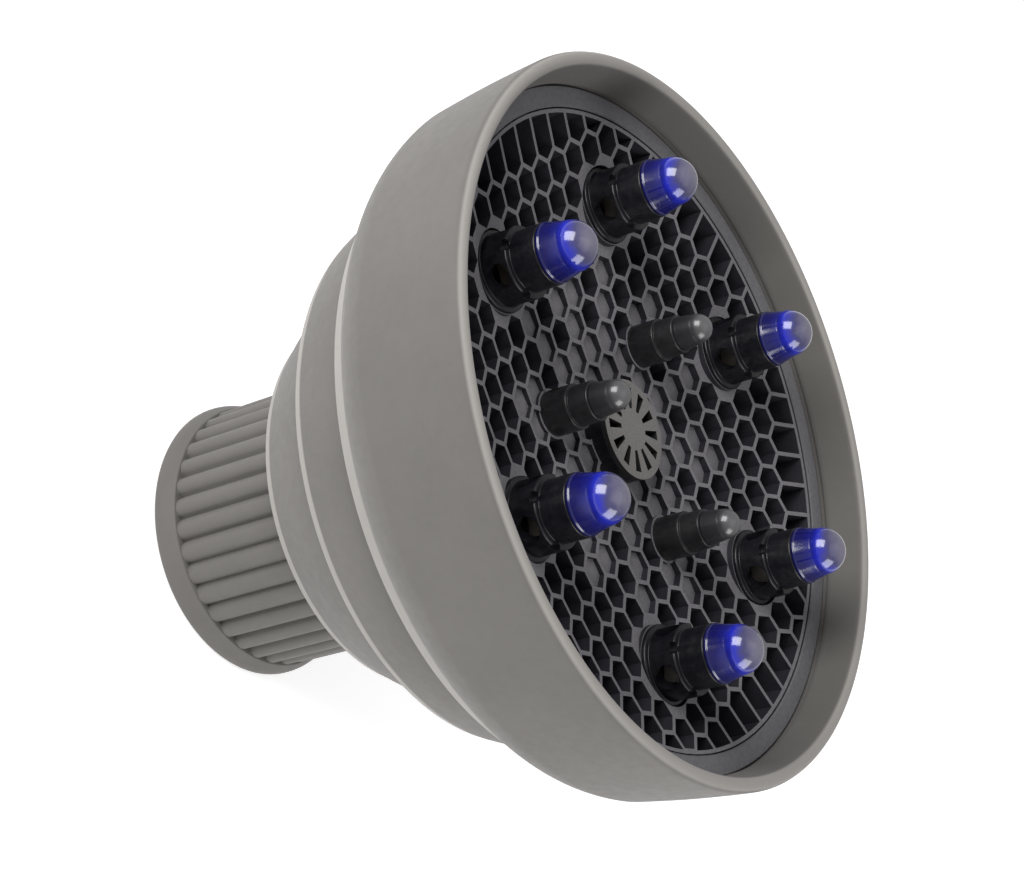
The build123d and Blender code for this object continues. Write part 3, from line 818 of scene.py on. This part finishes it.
# ---------------------------------------------------------------- prongs
@dataclass
class TallProngs:
    """Six hollow prongs with drilled bases and translucent blue tips. Millimetres above the pad."""

    count: int = 6
    collar: float = 8.5
    base: float = 7.5
    base_top: float = 7.2
    stem: float = 6.3
    stem_top: float = 13.0
    wall: float = 1.6
    hole: float = 2.6
    notch: float = 1.3
    notch_depth: float = 1.2
    spigot: float = 3.0
    dome: float = 5.15
    dome_centre: float = 17.5

    def body_profile(self) -> FloatArray:
        """Closed profile of the hollow prong: collar, wide base, step, stem and spigot."""
        inner = self.stem - self.wall
        return rounded_loop([
            (inner, -self.spigot, 0.2), (self.stem, -self.spigot, 0.2), (self.stem, 0.0, 0.1),
            (self.collar, 0.0, 0.1), (self.collar, 0.9, 0.4), (self.base, 1.05, 0.15),
            (self.base, self.base_top, 0.5), (self.stem, self.base_top, 0.2),
            (self.stem, self.stem_top, 0.3),
            (inner, self.stem_top, 0.1), (inner, self.stem_top + self.spigot, 0.3),
            (inner - self.wall, self.stem_top + self.spigot, 0.2),
            (inner - self.wall, self.base_top, 0.3),
            (inner, self.base_top - self.wall, 0.3),
        ], steps=4)

    def tip_profile(self) -> FloatArray:
        """Open profile from the socket's roof round the skirt's bead to the top of the dome.

        Returns:
            Array of (radius, height) points in metres, with both ends on the axis.
        """
        inner = self.stem - self.wall + 0.05
        foot = self.stem_top + 0.05
        roof = self.stem_top + self.spigot + 0.1
        skirt = rounded_loop([
            (inner, roof, 0.1), (inner, foot, 0.15), (6.2, foot, 0.25), (6.2, foot + 0.55, 0.2),
            (6.0, foot + 0.75, 0.15), (self.dome + 0.12, self.dome_centre - 0.4, 0.8),
            (self.dome, self.dome_centre, 0.0),
        ], steps=4)[4:-4]
        dome = arc((0.0, self.dome_centre), self.dome, 2, 90, 20)
        roof_edge = np.array([[0.0, roof], [inner - 0.2, roof], [inner, roof - 0.1]]) * MM
        return np.concatenate([roof_edge, skirt, dome])

    def paint_hollow_light(self, piece: Piece) -> None:
        """Gives the faces of the hollow the second material, a lighter grey painted as light from
        inside.

        Args:
            piece: A prong at the origin, with its pad at height 0.
        """
        mesh = piece.data
        centres = np.empty(len(mesh.polygons) * 3)
        mesh.polygons.foreach_get("center", centres)
        centres = centres.reshape(-1, 3)
        inside = np.hypot(centres[:, 0], centres[:, 1]) < (self.stem - self.wall + 0.02) * MM
        inside &= centres[:, 2] < self.stem_top * MM
        mesh.polygons.foreach_set("material_index", inside.astype(np.int32))

    def build(self) -> None:
        """Builds one prong and one tip and copies their meshes to the six places."""
        black = BlackPlasticFinish().build("prong_plastic")
        # painted light: the hollow's inner faces get a lighter grey as if lit from the silicone
        # inside
        hollow_painted_light = BlackPlasticFinish(
            colour=(0.050, 0.046, 0.040, 1.0), worn=(0.075, 0.068, 0.058, 1.0), roughness=0.5
        ).build("prong_hollow_painted_light")
        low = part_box("prong_tip_1")[0].z
        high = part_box("prong_tip_1")[1].z
        # the bright stop at 0.60 is a painted glow band and the lighter crown a painted highlight
        blue = TipFinish(
            stops=(
                (0.0, (0.005, 0.005, 0.055, 1.0)), (0.25, (0.005, 0.005, 0.080, 1.0)),
                (0.45, (0.007, 0.009, 0.14, 1.0)), (0.60, (0.012, 0.018, 0.34, 1.0)),
                (0.80, (0.038, 0.036, 0.10, 1.0)), (1.0, (0.115, 0.108, 0.150, 1.0)),
            ),
            low=low, high=high, glow=0.12, roughness=0.16,
        ).build("tip_blue")
        master = sharpen(lathe("prong_master", self.body_profile(), 96), PRONG_CREASE)
        mid = (1.0 + self.base_top) / 2 * MM
        reach = 2 * self.base * MM
        middle = Vector((0, 0, mid))
        drills = [
            rod("drill", middle - way * reach, middle + way * reach, self.hole * MM)
            for way in (Vector((1, 0, 0)), Vector((0, 1, 0)))
        ]
        corner = (self.base * MM) * math.sqrt(0.5)
        top = self.base_top * MM
        scallops = [
            rod(
                "scallop", Vector((x, y, top - self.notch_depth * MM)),
                Vector((x, y, top + 2 * MM)), self.notch * MM, 32,
            )
            for x in (-corner, corner) for y in (-corner, corner)
        ]
        cut(master, drills + scallops)
        sharpen(master, PRONG_CREASE)
        master.data.materials.append(black)
        master.data.materials.append(hollow_painted_light)
        self.paint_hollow_light(master)
        tip_solid = lathe("tip_master", self.tip_profile(), 72, closed=False)
        tip_master = sharpen(tip_solid, PRONG_CREASE)
        tip_master.data.materials.append(blue)
        for number in range(1, self.count + 1):
            lowest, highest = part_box(f"prong_{number}")
            centre = (lowest + highest) / 2
            pad = lowest.z + self.spigot * MM
            for source, node, slot in (
                (master, f"prong_{number}", "prong_plastic"),
                (tip_master, f"prong_tip_{number}", "tip_blue"),
            ):
                piece = bpy.data.objects.new(f"{node}_skin", source.data.copy())
                bpy.context.scene.collection.objects.link(piece)
                move_mesh(piece, centre.x, centre.y, pad)
                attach(piece, Body.HEAD.value)
                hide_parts(node)
                log.info("tall prong: %s", piece.name)
        bpy.data.objects.remove(master)
        bpy.data.objects.remove(tip_master)


@dataclass
class ShortProngs:
    """Three short stepped prongs with domed dark tips. Millimetres above the pad."""

    count: int = 3
    base: float = 4.75
    base_top: float = 6.2
    stem: float = 4.2
    stem_top: float = 10.8
    wall: float = 1.2
    tip: float = 3.75
    dome: float = 3.15
    dome_centre: float = 14.9
    spigot: float = 3.0

    def body_profile(self) -> FloatArray:
        """Open profile of the solid prong, from the foot of its spigot to its upper spigot.

        Returns:
            Array of (radius, height) points in metres, with both ends on the axis.
        """
        inner = self.stem - self.wall
        outline = rounded_loop([
            (0.0, -self.spigot, 0.0), (self.stem - 0.6, -self.spigot, 0.2),
            (self.stem - 0.6, 0.0, 0.1), (self.base, 0.0, 0.1), (self.base, self.base_top, 0.4),
            (self.stem, self.base_top, 0.1), (self.stem, self.stem_top, 0.3),
            (inner, self.stem_top, 0.1), (inner, self.stem_top + self.spigot, 0.3),
            (0.0, self.stem_top + self.spigot, 0.0),
        ], steps=4)
        return outline[3:-3]

    def tip_profile(self) -> FloatArray:
        """Open profile of the tip, from its socket's roof round the skirt to the dome's top.

        Returns:
            Array of (radius, height) points in metres, with both ends on the axis.
        """
        inner = self.stem - self.wall + 0.05
        foot = self.stem_top + 0.05
        roof = self.stem_top + self.spigot + 0.1
        skirt = rounded_loop([
            (0.0, roof, 0.0), (inner, roof, 0.1), (inner, foot, 0.1), (self.tip, foot, 0.2),
            (self.tip - 0.1, foot + 0.5, 0.15), (self.dome + 0.1, self.dome_centre - 0.3, 0.6),
            (self.dome, self.dome_centre, 0.0),
        ], steps=4)[3:-4]
        return np.concatenate([skirt, arc((0.0, self.dome_centre), self.dome, 2, 90, 16)])

    def build(self) -> None:
        """Builds the three short prongs and their tips."""
        black = BlackPlasticFinish(
            colour=(0.008, 0.008, 0.009, 1.0), worn=(0.014, 0.014, 0.015, 1.0)
        ).build("short_prong_plastic")
        low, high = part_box("inner_prong_tip_1")[0].z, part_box("inner_prong_tip_1")[1].z
        # the crown's lighter grey is a painted highlight where the top is lit
        dark = TipFinish(
            stops=(
                (0.0, (0.012, 0.012, 0.014, 1.0)), (0.5, (0.020, 0.020, 0.022, 1.0)),
                (1.0, (0.085, 0.085, 0.088, 1.0)),
            ),
            low=low, high=high, glow=0.0, roughness=0.32,
        ).build("tip_dark")
        for number in range(1, self.count + 1):
            lowest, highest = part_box(f"inner_prong_{number}")
            centre = (lowest + highest) / 2
            pad = lowest.z + self.spigot * MM
            for node, profile, finish, slot in (
                (f"inner_prong_{number}", self.body_profile(), black, "prong_plastic"),
                (f"inner_prong_tip_{number}", self.tip_profile(), dark, "tip_dark"),
            ):
                piece = sharpen(lathe(f"{node}_skin", profile, 72, closed=False), PRONG_CREASE)
                move_mesh(piece, centre.x, centre.y, pad)
                piece.data.materials.append(finish)
                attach(piece, Body.HEAD.value)
                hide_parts(node)
                log.info("short prong: %s", piece.name)


# ---------------------------------------------------------------- studio
@dataclass
class Studio:
    """Pale floor, soft lights and the camera, in metres.

    Each light is its name, its place from the middle of the object, its side and its watts.
    """

    focal: float = 75.5
    place: tuple[float, float, float] = (0.3810, -0.0850, 0.3295)
    target: tuple[float, float, float] = (0.0, -0.0056, 0.0790)
    roll: float = -73.4
    middle: tuple[float, float, float] = (0.0, 0.0, 0.09)
    lights: tuple[tuple[str, tuple[float, float, float], float, float], ...] = (
        ("soft_key", (0.39, -0.70, 0.35), 0.6, 10.0),
        ("soft_fill", (0.42, 0.74, 0.28), 0.6, 6.0),
        ("soft_top", (0.1, 0.1, 1.01), 0.9, 1.0),
    )
    sky: float = 0.42
    floor_half: float = 6.0
    floor_drop: float = 0.0004

    def build_camera(self) -> None:
        """Places the camera, aims it at the target and rolls it about its line of sight."""
        data = bpy.data.cameras.new("camera")
        data.lens, data.sensor_width = self.focal, 36.0
        data.clip_start, data.clip_end = 0.01, 20.0
        camera = bpy.data.objects.new("camera", data)
        bpy.context.scene.collection.objects.link(camera)
        aim = (Vector(self.target) - Vector(self.place)).to_track_quat("-Z", "Y").to_matrix()
        spin = Matrix.Rotation(math.radians(-self.roll), 3, "Z")
        camera.matrix_world = Matrix.Translation(self.place) @ (aim @ spin).to_4x4()
        bpy.context.scene.camera = camera

    def add_light(
        self, name: str, place: Vector, target: Vector, size: float, power: float
    ) -> None:
        """Adds one square soft light.

        Args:
            name: Name of the light.
            place: Centre of the light.
            target: Point it faces.
            size: Side of the square, in metres.
            power: Watts.
        """
        data = bpy.data.lights.new(name, "AREA")
        data.shape, data.size, data.energy = "SQUARE", size, power
        light = bpy.data.objects.new(name, data)
        facing = (target - place).to_track_quat("-Z", "Y").to_matrix().to_4x4()
        light.matrix_world = Matrix.Translation(place) @ facing
        bpy.context.scene.collection.objects.link(light)

    def build(self) -> None:
        """Builds the floor, the lights, the surrounding light and the camera."""
        signs = np.array([[-1, -1], [1, -1], [1, 1], [-1, 1]])
        corners = np.column_stack([signs * self.floor_half, np.full(4, -self.floor_drop)])
        floor = make_mesh("floor", corners, [(0, 1, 2, 3)])
        floor.data.materials.append(PlainFinish().build())
        world = bpy.data.worlds.new("studio")
        world.use_nodes = True
        background = world.node_tree.nodes["Background"]
        background.inputs["Color"].default_value = (1.0, 1.0, 1.0, 1.0)
        background.inputs["Strength"].default_value = self.sky
        bpy.context.scene.world = world
        middle = Vector(self.middle)
        for name, offset, size, power in self.lights:
            self.add_light(name, middle + Vector(offset), middle, size, power)
        self.build_camera()
        bpy.context.scene.view_settings.view_transform = "Standard"


def main() -> None:
    """Builds every sub-assembly in order."""
    logging.basicConfig(level=logging.INFO, format="%(name)s %(message)s")
    for assembly in (SiliconeBody(), Grille(), TallProngs(), ShortProngs(), Studio()):
        log.info("building %s", type(assembly).__name__)
        assembly.build()


if __name__ == "__main__":
    main()
